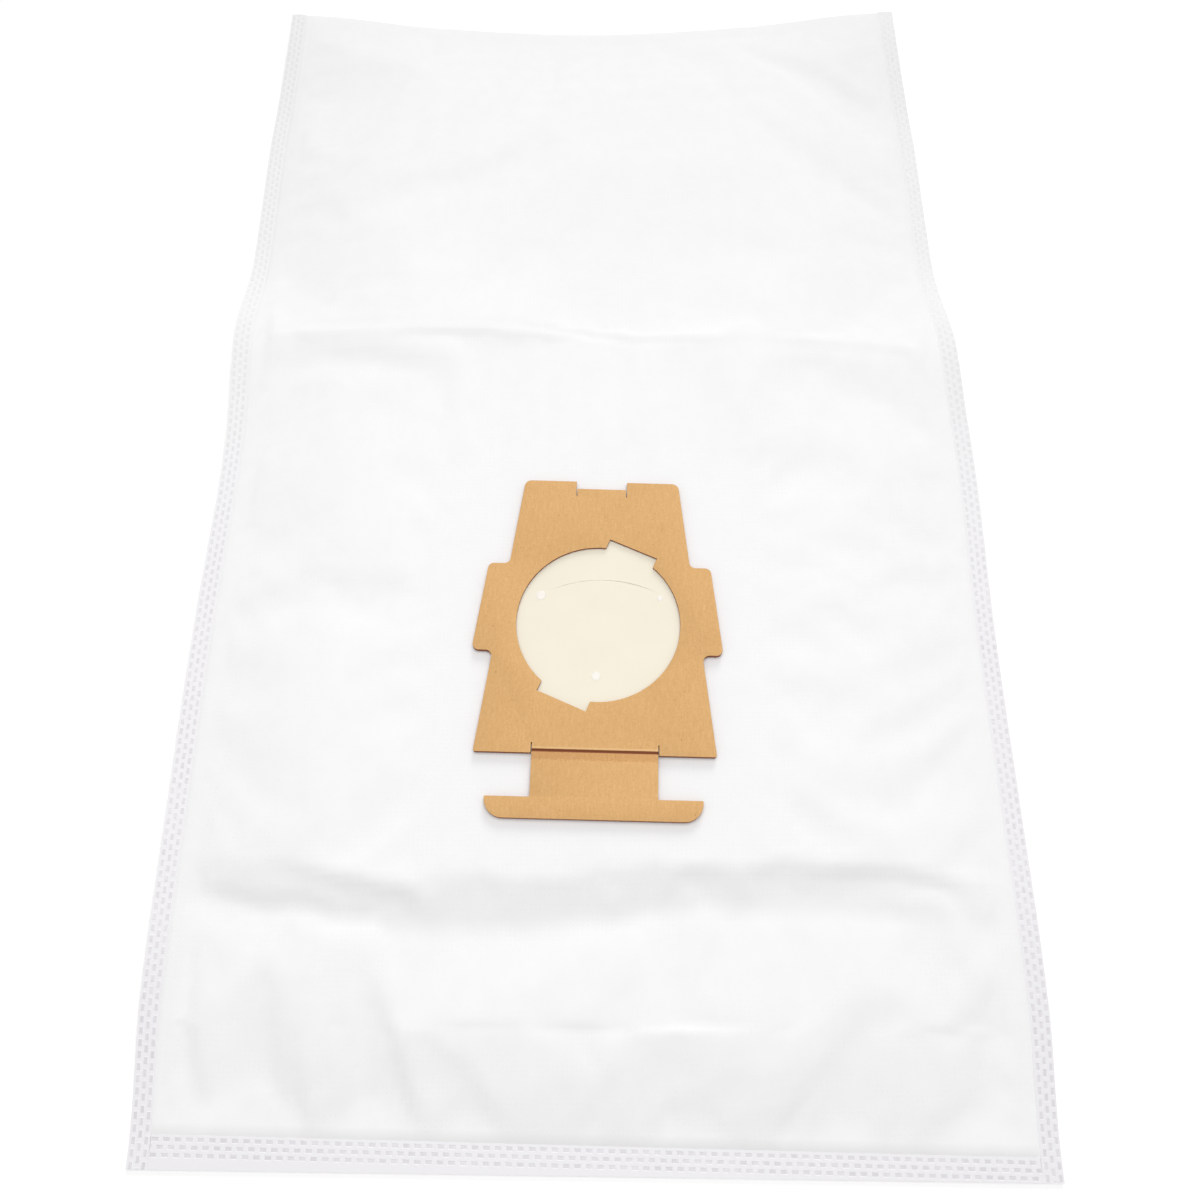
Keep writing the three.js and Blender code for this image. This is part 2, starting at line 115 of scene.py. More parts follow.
# Thin creases: the line, its height and its half width
THIN_CREASES = [
    ([(-164, 352), (-91, 351), (-37, 350), (-3, 345), (36, 341), (85, 340), (167, 339)],
     -0.13, 1.4),
    ([(-124, 373), (-105, 373.5), (-80, 373)], -0.2, 1.8),
    ([(-70, 373), (-53, 378)], -0.18, 1.8),
    ([(-60, 48.5), (-25, 49), (-5, 47.5), (31, 49), (65, 50), (99, 51), (124, 55)], -0.05, 1.1),
    ([(-26, 48.5), (-5, 46.8), (16, 48)], -0.16, 2.4),
]

# Puckers and soft furrows: the line, its depth and its half width. Each starts as a shallow,
# narrow tip, grows wider and deeper along its line, and is steeper on one side.
FURROW_TIP_WIDTH, FURROW_WIDENING = 0.2, 0.9
FURROW_TIP_DEPTH, FURROW_TIP_LENGTH = 0.12, 0.2
FURROW_STEEP_SIDE, FURROW_GENTLE_SIDE = 0.75, 1.25
FURROWS = [
    ([(-122, 72), (-123, 50), (-119, 11)], 3.2, 16),
    ([(-82, 64), (-79, 36), (-75, 11)], 3.0, 14),
    ([(-43, 30), (-43, 11)], 1.8, 14),
    ([(-151, 84), (-152, 50), (-147, 12)], 2.4, 9),
    ([(98, 50), (93, 28), (89, 9)], 1.8, 17),
    ([(151, 68), (147, 36), (141, 8)], 1.8, 14),
    ([(37, 27), (36, 9)], 1.6, 17),
    ([(-2, 20), (-2, 10)], 1.0, 12),
    ([(-108, 72), (-113, 56), (-104, 12)], 0.9, 2.6),
    ([(-85, 62), (-83, 38), (-82, 12)], 0.9, 2.4),
    ([(-77, 54), (-71, 34), (-66, 12)], 1.0, 2.6),
    ([(26, 33), (27, 12)], 1.2, 3.4),
    ([(83, 32), (74, 22), (66, 9)], 1.1, 3),
    ([(113, 46), (111, 30), (108, 8)], 1.0, 2.8),
    ([(-96, 517), (-106, 492), (-119, 463)], 0.8, 9),
    ([(-71, 500), (-74, 470), (-73, 436)], 0.7, 9),
    ([(-19, 522), (-25, 486)], 0.9, 6),
    ([(14, 524), (15, 492)], 0.7, 4),
    ([(-140, 524), (-146, 500)], 0.6, 7),
    ([(54, 520), (80, 478), (116, 444), (152, 412)], 1.2, 12),
    ([(78, 534), (115, 511), (154, 480)], 2.8, 13),
    ([(-150, 300), (-153, 262), (-151, 225)], 0.8, 9),
]

# How soon folds and creases fade out, along their lines and towards the edges of the cloth
FOLD_END_FADE, CREASE_END_FADE = 0.22, 0.1
RELIEF_SIDE_FADE, RELIEF_BOTTOM_FADE, RELIEF_TOP_FADE = 20, 7, 14

# Dashes of the welds
DASH_PITCH = 4.0
DASH_LENGTH, DASH_WIDTH = 2.6, 1.55
DASH_ROWS = 3
SIDE_DASH_ROW_STEP, BOTTOM_DASH_ROW_STEP = 2.35, 2.5
LEFT_FIRST_ROW, RIGHT_FIRST_ROW = 1.5, 1.1
BOTTOM_FIRST_ROW_LEFT, BOTTOM_FIRST_ROW_RIGHT = 4.6, 1.2
DASH_SLOPE = 0.22
DASH_DEPTH = 0.1
CUTS_PER_PITCH = 4


def ramp(value):
    t = np.clip(value, 0, 1)
    return t * t * (3 - 2 * t)


def rise(value):
    t = np.clip(value, 0, 1)
    return 1 - (1 - t) ** 2


def bell(value):
    return np.exp(-value * value)


# Outline of the bag, with y measured from its bottom edge


def half_width(y):
    return (BAG_WIDTH / 2
            - BOTTOM_DRAW_IN * (1 - ramp(y / BOTTOM_DRAW_IN_SPAN))
            - UPPER_DRAW_IN * ramp((y - UPPER_FOLD_Y) / UPPER_DRAW_IN_SPAN)
            - TOP_DRAW_IN * ramp((y - BAG_LENGTH + TOP_DRAW_IN_SPAN) / TOP_DRAW_IN_SPAN))


def sway(x, y):
    """The sides lie a little askew beside the collar, where the bag was pushed about."""
    return SWAY * bell((y - SWAY_Y) / SWAY_SPREAD) * (x / half_width(y)) ** 2


def bottom_edge(x):
    return -END_SKEW * x / (BAG_WIDTH / 2)


def top_edge(x):
    across = x / (BAG_WIDTH / 2)
    return BAG_LENGTH + END_SKEW * across - TOP_HOLLOW * (
        1 - ramp(np.abs(across) * TOP_HOLLOW_NARROWING))


def laid_out(across, row, inset=0.0):
    """Place on the bag of a point at a share across it, from -1 to 1, and a row along it."""
    share = row / BAG_LENGTH
    x = across * (half_width(row) - inset)
    top_share = ramp((share - 1) / TOP_SHAPE_SHARE + 1)
    x = x + sway(x, row)
    return x, row + bottom_edge(x) * (1 - share) + (top_edge(x) - BAG_LENGTH) * top_share


# Height of the two walls over the table


def fold_line(x):
    return UPPER_FOLD_Y + UPPER_FOLD_SLOPE * x


def lower_fold_y(x):
    across, along = zip(*LOWER_FOLD_LINE)
    shifts = (-LOWER_FOLD_SMOOTHING, 0, LOWER_FOLD_SMOOTHING)
    return sum(np.interp(x + shift, across, along) for shift in shifts) / len(shifts)


def weld_line(x):
    return BOTTOM_WELD + (BOTTOM_WELD_RIGHT - BOTTOM_WELD_LEFT) * x / BAG_WIDTH


def slant_share(row):
    """How far a row follows the slant of the bottom weld."""
    return np.minimum(row / BOTTOM_WELD, 1) * (1 - ramp((row - BOTTOM_WELD) / WELD_SLANT_FADE))


def from_edge(x, y):
    return half_width(y) - np.abs(x - sway(x, y))


def back_height(x, y):
    in_from_side = from_edge(x, y)
    to_side = 1 - np.minimum(in_from_side / EDGE_LIFT_SPAN, 1)
    along_side = ramp((y - EDGE_LIFT_START) / EDGE_LIFT_GROWTH)
    along_side *= 1 - ramp((y - UPPER_FOLD_Y) / EDGE_LIFT_FADE)
    at_fold = bell((y - fold_line(x)) / UPPER_FOLD_EDGE_SPREAD)
    side = (EDGE_LIFT * along_side + FOLD_EDGE_LIFT * at_fold) * to_side ** 2
    along_corner = ramp((y - BAG_LENGTH + CORNER_LIFT_LENGTH) / CORNER_LIFT_LENGTH)
    across_corner = ramp((CORNER_LIFT_WIDTH - in_from_side) / CORNER_LIFT_WIDTH)
    return side + CORNER_LIFT * along_corner * across_corner


def from_weld(x, y):
    """How far inside the side welds and the bottom weld a point lies."""
    return from_edge(x, y) - SIDE_WELD, y - bottom_edge(x) - weld_line(x)


def air_gap(x, y):
    """Height of the air between the walls, over the thickness of a weld."""
    from_side, from_bottom = from_weld(x, y)
    fold_share = (FOLD_THICKNESS - WELD_THICKNESS) / AIR_LOFT
    top = fold_share + (1 - fold_share) * rise((top_edge(x) - y) / TOP_RISE)
    low = LOW_SHARE * rise(from_bottom / BOTTOM_RISE)
    step = np.clip(0.5 + (y - lower_fold_y(x)) / (2 * STEP_SPREAD), 0, 1)
    step = STEP_STRAIGHT_SHARE * step + (1 - STEP_STRAIGHT_SHARE) * ramp(step)
    low += (1 - LOW_SHARE) * step
    return AIR_LOFT * rise(from_side / SIDE_RISE) * low * top


def near_line(x, y, line):
    """Distance of points from a drawn line, their side of it, and how far along it they lie."""
    nearest = np.full(x.shape, np.inf)
    side = np.zeros(x.shape)
    along = np.zeros(x.shape)
    steps = list(zip(line, line[1:]))
    for index, ((ax, ay), (bx, by)) in enumerate(steps):
        dx, dy = bx - ax, by - ay
        length = math.hypot(dx, dy)
        t = np.clip(((x - ax) * dx + (y - ay) * dy) / length ** 2, 0, 1)
        distance = np.hypot(x - ax - t * dx, y - ay - t * dy)
        closer = distance < nearest
        nearest = np.where(closer, distance, nearest)
        side = np.where(closer, np.sign((y - ay) * dx - (x - ax) * dy), side)
        along = np.where(closer, (index + t) / len(steps), along)
    return nearest, side, along


def end_fade(along, share):
    return ramp(along / share) * ramp((1 - along) / share)


def fold_relief(x, y):
    """Folds, creases and puckers of the front wall."""
    from_side, from_bottom = from_weld(x, y)
    relief = UPPER_FOLD_HEIGHT * np.exp(-np.abs(y - fold_line(x)) / UPPER_FOLD_SPREAD)
    for line, depth, above, below in PRESSED_FOLDS:
        distance, side, along = near_line(x, y, line)
        reach = np.where(side > 0, above, below)
        relief -= depth * bell(distance / reach) * end_fade(along, FOLD_END_FADE)
    for line, height, spread in THIN_CREASES:
        distance, _, along = near_line(x, y, line)
        relief += height * bell(distance / spread) * end_fade(along, CREASE_END_FADE)
    for line, depth, spread in FURROWS:
        distance, side, along = near_line(x, y, line)
        reach = spread * (FURROW_TIP_WIDTH + FURROW_WIDENING * along)
        reach *= np.where(side > 0, FURROW_STEEP_SIDE, FURROW_GENTLE_SIDE)
        share = FURROW_TIP_DEPTH * ramp(along / FURROW_TIP_LENGTH) + (1 - FURROW_TIP_DEPTH) * along
        relief -= depth * np.exp(-(distance / reach) ** 3) * share
    relief *= ramp(from_side / RELIEF_SIDE_FADE) * ramp(from_bottom / RELIEF_BOTTOM_FADE)
    return relief * ramp((top_edge(x) - y) / RELIEF_TOP_FADE)


def front_height(x, y):
    """The front wall never sinks into the back wall, and the glued collar holds it flat."""
    air = air_gap(x, y)
    inside = air + fold_relief(x, y)
    inside = (inside + np.hypot(inside, SOFT_FLOOR)) / 2
    free = back_height(x, y) + WELD_THICKNESS + inside * ramp(air / SOFT_FLOOR)
    before = ramp((SEAT_START - y) / SEAT_BLEND)
    after = ramp((y - SEAT_END) / SEAT_BLEND)
    beside = ramp((np.abs(x - COLLAR_X) - SEAT_HALF_WIDTH) / SEAT_BLEND)
    seated = (1 - before) * (1 - after) * (1 - beside)
    return free + (SEAT_HEIGHT - free) * seated


# Camera at the photograph's viewing angle, with its place in metres and its turns in degrees

CAMERA_LENS, SENSOR_WIDTH = 31.68, 36
CAMERA_PLACE = (-0.0045, -0.2264, 0.4210)
CAMERA_TURNS = (21.56, -0.80, -0.23)

camera_data = bpy.data.cameras.new("view")
camera_data.lens = CAMERA_LENS
camera_data.sensor_width = SENSOR_WIDTH
camera = bpy.data.objects.new("view", camera_data)
camera.location = CAMERA_PLACE
camera.rotation_euler = [math.radians(turn) for turn in CAMERA_TURNS]
bpy.context.scene.collection.objects.link(camera)
bpy.context.scene.camera = camera


# Materials


def colour(code):
    """An sRGB hex colour as the linear values that a shader takes."""
    channels = [int(code[i:i + 2], 16) / 255 for i in (1, 3, 5)]
    return [c / 12.92 if c <= 0.04045 else ((c + 0.055) / 1.055) ** 2.4 for c in channels] + [1]


def add(tree, kind, links=None, **settings):
    """Adds a node, with its settings, and a value or a link for each socket that is named."""
    node = tree.nodes.new(kind)
    for name, value in settings.items():
        setattr(node, name, value)
    for socket, value in (links or {}).items():
        if isinstance(value, bpy.types.NodeSocket):
            tree.links.new(value, node.inputs[socket])
        else:
            node.inputs[socket].default_value = value
    return node


def new_material(name, roughness, ior, **sockets):
    material = bpy.data.materials.new(name)
    material.use_nodes = True
    shader = material.node_tree.nodes["Principled BSDF"]
    shader.inputs["Roughness"].default_value = roughness
    shader.inputs["IOR"].default_value = ior
    for socket, value in sockets.items():
        shader.inputs[socket.replace("_", " ")].default_value = value
    place = add(material.node_tree, "ShaderNodeTexCoord").outputs["Object"]
    return material, material.node_tree, shader, place


def blended(tree, share, low, high):
    """Mixes two colours by a share from 0 to 1."""
    mix = add(tree, "ShaderNodeMix", {"Factor": share}, data_type="RGBA")
    for socket, value in ((6, low), (7, high)):
        if isinstance(value, bpy.types.NodeSocket):
            tree.links.new(value, mix.inputs[socket])
        else:
            mix.inputs[socket].default_value = colour(value)
    return mix.outputs[2]


def spunbond_polypropylene():
    """Melt-spun polypropylene cloth, laid at random and point bonded with a heated roller.

    It looks soft and matt white, faintly cloudy where the fibres lie thicker, with bonding points
    that are drawn at 1.8 mm, a little coarser than the real ones, so that they show at all.
    """
    material, tree, shader, place = new_material(
        "spunbond_polypropylene", 0.9, 1.49, Sheen_Weight=0.12, Sheen_Roughness=0.5)
    clouds = add(tree, "ShaderNodeTexNoise",
                 {"Vector": place, "Scale": 1 / (9 * MM), "Detail": 3, "Roughness": 0.6})
    fibres = add(tree, "ShaderNodeTexNoise",
                 {"Vector": place, "Scale": 1 / (0.9 * MM), "Detail": 4, "Roughness": 0.7})
    points = add(tree, "ShaderNodeTexVoronoi",
                 {"Vector": place, "Scale": 1 / (1.8 * MM), "Randomness": 0.25})
    pits = add(tree, "ShaderNodeMapRange",
               {"Value": points.outputs["Distance"], "From Min": 0.12, "From Max": 0.34})
    base = blended(tree, clouds.outputs["Fac"], "#f3f3f4", "#f8f8f8")
    base = blended(tree, pits.outputs["Result"], "#f4f4f5", base)
    tree.links.new(base, shader.inputs["Base Color"])
    height = add(tree, "ShaderNodeMath",
                 {0: fibres.outputs["Fac"], 1: pits.outputs["Result"]}, operation="ADD")
    bump = add(tree, "ShaderNodeBump",
               {"Height": height.outputs[0], "Strength": 0.25, "Distance": 0.06 * MM})
    tree.links.new(bump.outputs[0], shader.inputs["Normal"])
    return material


def pressed_share(tree, place):
    """How hard the dies pressed the welds: least at the top of the bag, and uneven all along."""
    along = add(tree, "ShaderNodeSeparateXYZ", {0: place}).outputs["Y"]
    press = add(tree, "ShaderNodeMapRange", {
        "Value": along, "From Min": 90 * MM, "From Max": -90 * MM, "To Min": 0.1, "To Max": 1,
    })
    uneven = add(tree, "ShaderNodeTexNoise",
                 {"Vector": place, "Scale": 1 / (34 * MM), "Detail": 1, "Roughness": 0.5})
    strength = add(tree, "ShaderNodeMapRange", {
        "Value": uneven.outputs["Fac"], "From Min": 0.3, "From Max": 0.6, "To Min": 0.85,
    })
    both = add(tree, "ShaderNodeMath",
               {0: press.outputs["Result"], 1: strength.outputs["Result"]}, operation="MULTIPLY")
    return both.outputs[0]


def pressed_polypropylene():
    """The same cloth pressed into a weld band: denser, a little darker and smoother.

    The dies pressed less hard towards the top of the bag, so the band grows paler up there.
    """
    material, tree, shader, place = new_material("pressed_polypropylene", 0.7, 1.49)
    press = pressed_share(tree, place)
    fibres = add(tree, "ShaderNodeTexNoise",
                 {"Vector": place, "Scale": 1 / (1.2 * MM), "Detail": 4, "Roughness": 0.7})
    base = blended(tree, fibres.outputs["Fac"], "#eae9ec", "#f1eff2")
    base = blended(tree, press, "#f0f0f1", base)
    tree.links.new(base, shader.inputs["Base Color"])
    bump = add(tree, "ShaderNodeBump",
               {"Height": fibres.outputs["Fac"], "Strength": 0.3, "Distance": 0.08 * MM})
    tree.links.new(bump.outputs[0], shader.inputs["Normal"])
    return material


def fused_polypropylene():
    """Cloth melted through by the welding dies: glassier than the cloth, and a little darker."""
    material, tree, shader, place = new_material("fused_polypropylene", 0.42, 1.49)
    press = pressed_share(tree, place)
    melt = add(tree, "ShaderNodeTexNoise",
               {"Vector": place, "Scale": 1 / (5 * MM), "Detail": 2, "Roughness": 0.5})
    patches = add(tree, "ShaderNodeMapRange",
                  {"Value": melt.outputs["Fac"], "From Min": 0.35, "From Max": 0.65})
    base = blended(tree, patches.outputs["Result"], "#d8d5d9", "#e2dfe3")
    base = blended(tree, press, "#ebebec", base)
    tree.links.new(base, shader.inputs["Base Color"])
    return material


# The tab's crease, measured from the middle of its groove: the groove in pressed-fibre brown
# deepened with painted shade, a painted highlight on the rim above it, and the scuffed strip below
GROOVE_SHADE_REACH = 0.62
HIGHLIGHT_RIM, HIGHLIGHT_RIM_REACH = 1.1, 0.35
SCUFF, LEAST_SCUFF_REACH, MOST_SCUFF_REACH = -1.8, 0.9, 2.6


def creased(tree, place, base):
    """Colours the crease of the closing tab: a scuffed strip below it, a painted highlight on the
    rim above, and a groove in pressed-fibre brown deepened with painted shade.
    """
    on_tab = add(tree, "ShaderNodeMapping", {
        "Vector": place,
        "Location": (COLLAR_X * MM, (COLLAR_Y - BAG_LENGTH / 2) * MM, 0),
        "Rotation": (0, 0, COLLAR_TURN),
    }, vector_type="TEXTURE").outputs[0]
    across, along, _ = add(tree, "ShaderNodeSeparateXYZ", {0: on_tab}).outputs
    from_middle = add(tree, "ShaderNodeMath", {0: across}, operation="ABSOLUTE").outputs[0]
    on_stem = add(tree, "ShaderNodeMath",
                  {0: from_middle, 1: TAB_STEM_WIDTH / 2 * MM}, operation="LESS_THAN").outputs[0]
    torn = add(tree, "ShaderNodeTexNoise",
               {"Vector": place, "Scale": 1 / (0.8 * MM), "Detail": 4, "Roughness": 0.7})
    reach = add(tree, "ShaderNodeMapRange", {
        "Value": torn.outputs["Fac"], "From Min": 0.3, "From Max": 0.7,
        "To Min": LEAST_SCUFF_REACH * MM, "To Max": MOST_SCUFF_REACH * MM,
    })
    scuffed = add(tree, "ShaderNodeMath", {
        0: along, 1: (CREASE_Y + SCUFF) * MM, 2: reach.outputs["Result"],
    }, operation="COMPARE")
    # Painted highlight: a paler band where the folded rim above the crease catches the light.
    rim_highlight = add(tree, "ShaderNodeMath", {
        0: along, 1: (CREASE_Y + HIGHLIGHT_RIM) * MM, 2: HIGHLIGHT_RIM_REACH * MM,
    }, operation="COMPARE")
    # The groove takes the dark brown of pressed fibres, laid on strongly as painted shade in the
    # crease.
    pressed_groove_and_shade = add(tree, "ShaderNodeMath",
                 {0: along, 1: CREASE_Y * MM, 2: GROOVE_SHADE_REACH * MM}, operation="COMPARE")
    uneven = add(tree, "ShaderNodeMapRange",
                 {"Value": torn.outputs["Fac"], "From Min": 0.35, "From Max": 0.65, "To Min": 0.35})
    for mask, strength, shade in (
            (scuffed, 0.55, "#bb7d45"), (rim_highlight, 0.4, "#f2cc98"), (pressed_groove_and_shade, 0.95, "#8a4f30")):
        share = add(tree, "ShaderNodeMath", {0: mask.outputs[0], 1: on_stem}, operation="MULTIPLY")
        patch = strength
        if mask is scuffed:
            patch = add(tree, "ShaderNodeMath",
                        {0: uneven.outputs["Result"], 1: strength}, operation="MULTIPLY").outputs[0]
        share = add(tree, "ShaderNodeMath", {0: share.outputs[0], 1: patch}, operation="MULTIPLY")
        base = blended(tree, share.outputs[0], base, shade)
    return base


def kraft_board():
    """Uncoated kraft board, rolled from unbleached wood fibre and die cut.

    It gives a matt golden brown with faint grain along the bag and sparse dark shives. The knife
    scorches and packs the fibres, so cut edges are a dark reddish brown; the pressed crease takes
    that brown with painted shade in its groove, and a painted highlight on the rim above it.
    """
    material, tree, shader, place = new_material("kraft_board", 0.8, 1.5)
    grain_place = add(tree, "ShaderNodeMapping",
                      {"Vector": place, "Scale": (1, 0.16, 1)}).outputs[0]
    mottle = add(tree, "ShaderNodeTexNoise",
                 {"Vector": place, "Scale": 1 / (14 * MM), "Detail": 4, "Roughness": 0.6})
    grain = add(tree, "ShaderNodeTexNoise",
                {"Vector": grain_place, "Scale": 1 / (0.8 * MM), "Detail": 5, "Roughness": 0.75})
    shives = add(tree, "ShaderNodeTexNoise",
                 {"Vector": place, "Scale": 1 / (0.9 * MM), "Detail": 1, "Roughness": 0.4})
    shive_mask = add(tree, "ShaderNodeMapRange", {
        "Value": shives.outputs["Fac"], "From Min": 0.71, "From Max": 0.86, "To Max": 0.8,
    })
    fibres = add(tree, "ShaderNodeTexNoise",
                 {"Vector": place, "Scale": 1 / (0.7 * MM), "Detail": 3, "Roughness": 0.6})
    fibre_share = add(tree, "ShaderNodeMapRange",
                      {"Value": fibres.outputs["Fac"], "From Min": 0.35, "From Max": 0.65})
    base = blended(tree, mottle.outputs["Fac"], "#d6a66a", "#dfb175")
    base = blended(tree, fibre_share.outputs["Result"], base, blended(tree, 0.42, base, "#efc389"))
    grain_share = add(tree, "ShaderNodeMapRange", {
        "Value": grain.outputs["Fac"], "From Min": 0.3, "From Max": 0.7, "To Max": 0.46,
    })
    base = blended(tree, grain_share.outputs["Result"], base, "#c6955b")
    base = blended(tree, shive_mask.outputs["Result"], base, "#a5713f")
    base = creased(tree, place, base)
    # Faces turned away from straight up take the cut-edge brown; on the slopes of the crease's
    # groove this is partly painted shade.
    facing = add(tree, "ShaderNodeSeparateXYZ",
                 {0: add(tree, "ShaderNodeNewGeometry").outputs["Normal"]}).outputs["Z"]
    cut = add(tree, "ShaderNodeMapRange",
              {"Value": facing, "From Min": 0.92, "From Max": 0.55})
    base = blended(tree, cut.outputs["Result"], base, "#8a4f30")
    tree.links.new(base, shader.inputs["Base Color"])
    bump = add(tree, "ShaderNodeBump",
               {"Height": grain.outputs["Fac"], "Strength": 0.35, "Distance": 0.08 * MM})
    tree.links.new(bump.outputs[0], shader.inputs["Normal"])
    return material


def latex_film():
    """Calendered latex film: smooth, cream, with a soft satin gloss and a trace of cloudiness."""
    material, tree, shader, place = new_material("latex_film", 0.58, 1.52)
    clouds = add(tree, "ShaderNodeTexNoise",
                 {"Vector": place, "Scale": 1 / (16 * MM), "Detail": 2, "Roughness": 0.5})
    base = blended(tree, clouds.outputs["Fac"], "#ece5d2", "#f1ead8")
    tree.links.new(base, shader.inputs["Base Color"])
    bump = add(tree, "ShaderNodeBump",
               {"Height": clouds.outputs["Fac"], "Strength": 0.2, "Distance": 0.4 * MM})
    tree.links.new(bump.outputs[0], shader.inputs["Normal"])
    return material


def hot_melt_glue():
    """Hot-melt glue set in a low drop: milky, smooth, and paler than the film under it."""
    material, tree, shader, place = new_material("hot_melt_glue", 0.35, 1.48)
    milk = add(tree, "ShaderNodeTexNoise",
               {"Vector": place, "Scale": 1 / (1.5 * MM), "Detail": 2, "Roughness": 0.5})
    base = blended(tree, milk.outputs["Fac"], "#eee8df", "#f5f1eb")
    tree.links.new(base, shader.inputs["Base Color"])
    return material


CLOTH = spunbond_polypropylene()
PRESSED = pressed_polypropylene()
FUSED = fused_polypropylene()
KRAFT = kraft_board()
FILM = latex_film()
GLUE = hot_melt_glue()


# Meshes


def graded(start, end, step):
    """Stations from start to end, whose spacing at each station follows a function."""
    stations = [start]
    while stations[-1] < end:
        stations.append(stations[-1] + step(stations[-1]))
    scale = (end - start) / (stations[-1] - start)
    return np.array([start + (station - start) * scale for station in stations])


def plain_grid(bm, columns, rows):
    """Adds a grid whose vertices stand at whole numbers: the column in x and the row in y."""
    made = bmesh.ops.create_grid(bm, x_segments=columns, y_segments=rows, size=0.5)["verts"]
    for vert in made:
        vert.co = (round((vert.co.x + 0.5) * columns), round((vert.co.y + 0.5) * rows), 0)
    return made


def finished(bm, name, materials, replaces=None, smooth=True):
    """Makes a piece that rides on the part's one body, from a bmesh in millimetres."""
    bmesh.ops.scale(bm, vec=(MM, MM, MM), verts=bm.verts)
    for face in bm.faces:
        face.smooth = smooth
    mesh = bpy.data.meshes.new(name)
    bm.to_mesh(mesh)
    bm.free()
    for material in materials:
        mesh.materials.append(material)
    piece = bpy.data.objects.new(name, mesh)
    bpy.context.scene.collection.objects.link(piece)
    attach(piece, "root")
    if replaces:
        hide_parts(replaces)
    return piece


# Settling of the front wall under the little air that is in the bag

SETTLE_FRAMES = 16
SETTLE_CAP = 2.6
PIN_BLEND, WELD_PIN, TOP_PIN = 9, 1, 4
LEAST_LENGTH = 1e-6


def held_share(x, y, z):
    """How firmly the welds, the collar and the table hold a point of the cloth, from 0 to 1."""
    from_side, from_bottom = from_weld(x, y)
    by_weld = 1 - ramp((np.minimum(from_side, from_bottom) - WELD_PIN) / PIN_BLEND)
    by_fold = 1 - ramp((top_edge(x) - y - TOP_PIN) / PIN_BLEND)
    along_seat = np.minimum(y - SEAT_START, SEAT_END - y)
    inside = np.minimum(SEAT_HALF_WIDTH - np.abs(x - COLLAR_X), along_seat)
    by_collar = ramp(inside / PIN_BLEND + 1)
    on_table = (z < (back_height(x, y) + front_height(x, y)) / 2).astype(float)
    return np.maximum.reduce([by_weld, by_fold, by_collar, on_table])


def let_settle(piece):
    """Runs the cloth for a few frames, and keeps the shape that it comes to."""
    mesh = piece.data
    start = np.empty(len(mesh.vertices) * 3)
    mesh.vertices.foreach_get("co", start)
    start = start.reshape(-1, 3) / MM
    held = held_share(start[:, 0], start[:, 1] + BAG_LENGTH / 2, start[:, 2])
    pins = piece.vertex_groups.new(name="held")
    for index, weight in enumerate(held):
        pins.add([index], float(weight), "REPLACE")
    cloth = piece.modifiers.new("settle", "CLOTH")
    settings = cloth.settings
    settings.quality = 6
    settings.mass = 0.12
    settings.tension_stiffness = 25
    settings.compression_stiffness = 25
    settings.shear_stiffness = 12
    settings.bending_stiffness = 0.3
    settings.air_damping = 3
    settings.vertex_group_mass = "held"
    settings.shrink_min = -0.003
    settings.use_pressure = True
    settings.uniform_pressure_force = 0.2
    settings.effector_weights.gravity = 0
    cloth.collision_settings.use_collision = False
    scene = bpy.context.scene
    cloth.point_cache.frame_end = SETTLE_FRAMES
    for frame_number in range(1, SETTLE_FRAMES + 1):
        scene.frame_set(frame_number)
    settled = piece.evaluated_get(bpy.context.evaluated_depsgraph_get()).data
    end = np.empty(len(mesh.vertices) * 3)
    settled.vertices.foreach_get("co", end)
    moved = (end.reshape(-1, 3) / MM - start) * (1 - held)[:, None]
    length = np.linalg.norm(moved, axis=1)
    moved *= (np.minimum(length, SETTLE_CAP) / np.maximum(length, LEAST_LENGTH))[:, None]
    mesh.vertices.foreach_set("co", ((start + moved) * MM).ravel())
    piece.modifiers.remove(cloth)
    piece.vertex_groups.remove(pins)
    scene.frame_set(1)


# Bag cloth: front and back wall on one grid, closed round the rim, with the inlet hole cut out

# Where the rows lie closer together: the place, its spread, and by how much. They are the upper
# fold, the lower fold, the puckers, the thin crease across the puckers, and the top fold.
ROW_STEP, LEAST_ROW_STEP = 4.6, 0.5
CLOSER_ROWS = [
    (UPPER_FOLD_Y, 9, 2.8), (97, 16, 1.9), (38, 26, 1.6), (48, 4, 2.0), (BAG_LENGTH, 6, 4.0),
]
COLUMN_STEP, SIDE_COLUMN_STEP, SIDE_COLUMNS_START = 0.017, 0.012, 0.93
WALL_START, LEAST_WALL = 0.1, 0.12
HOLE_RING = 0.8
WALL_MERGE = 0.02


def row_step(y):
    step = ROW_STEP
    for place, spread, less in CLOSER_ROWS:
        step -= less * float(bell((y - place) / spread))
    return max(step, LEAST_ROW_STEP)


def column_step(share):
    return SIDE_COLUMN_STEP if abs(share) > SIDE_COLUMNS_START else COLUMN_STEP


def cloth_columns():
    """Each column's share across the bag and its inset, with one column on each weld line."""
    inside = graded(-1, 1, column_step)
    tucked = ((1, SIDE_WELD - TUCK_REACH), (1, RIM_TUCK))
    left = [(-share, inset) for share, inset in reversed(tucked)]
    return np.array([*left, *((share, SIDE_WELD) for share in inside), *tucked]).T


def cloth_rows():
    inside = graded(BOTTOM_WELD, BAG_LENGTH, row_step)
    return np.array([RIM_TUCK, BOTTOM_WELD - TUCK_REACH, *inside])


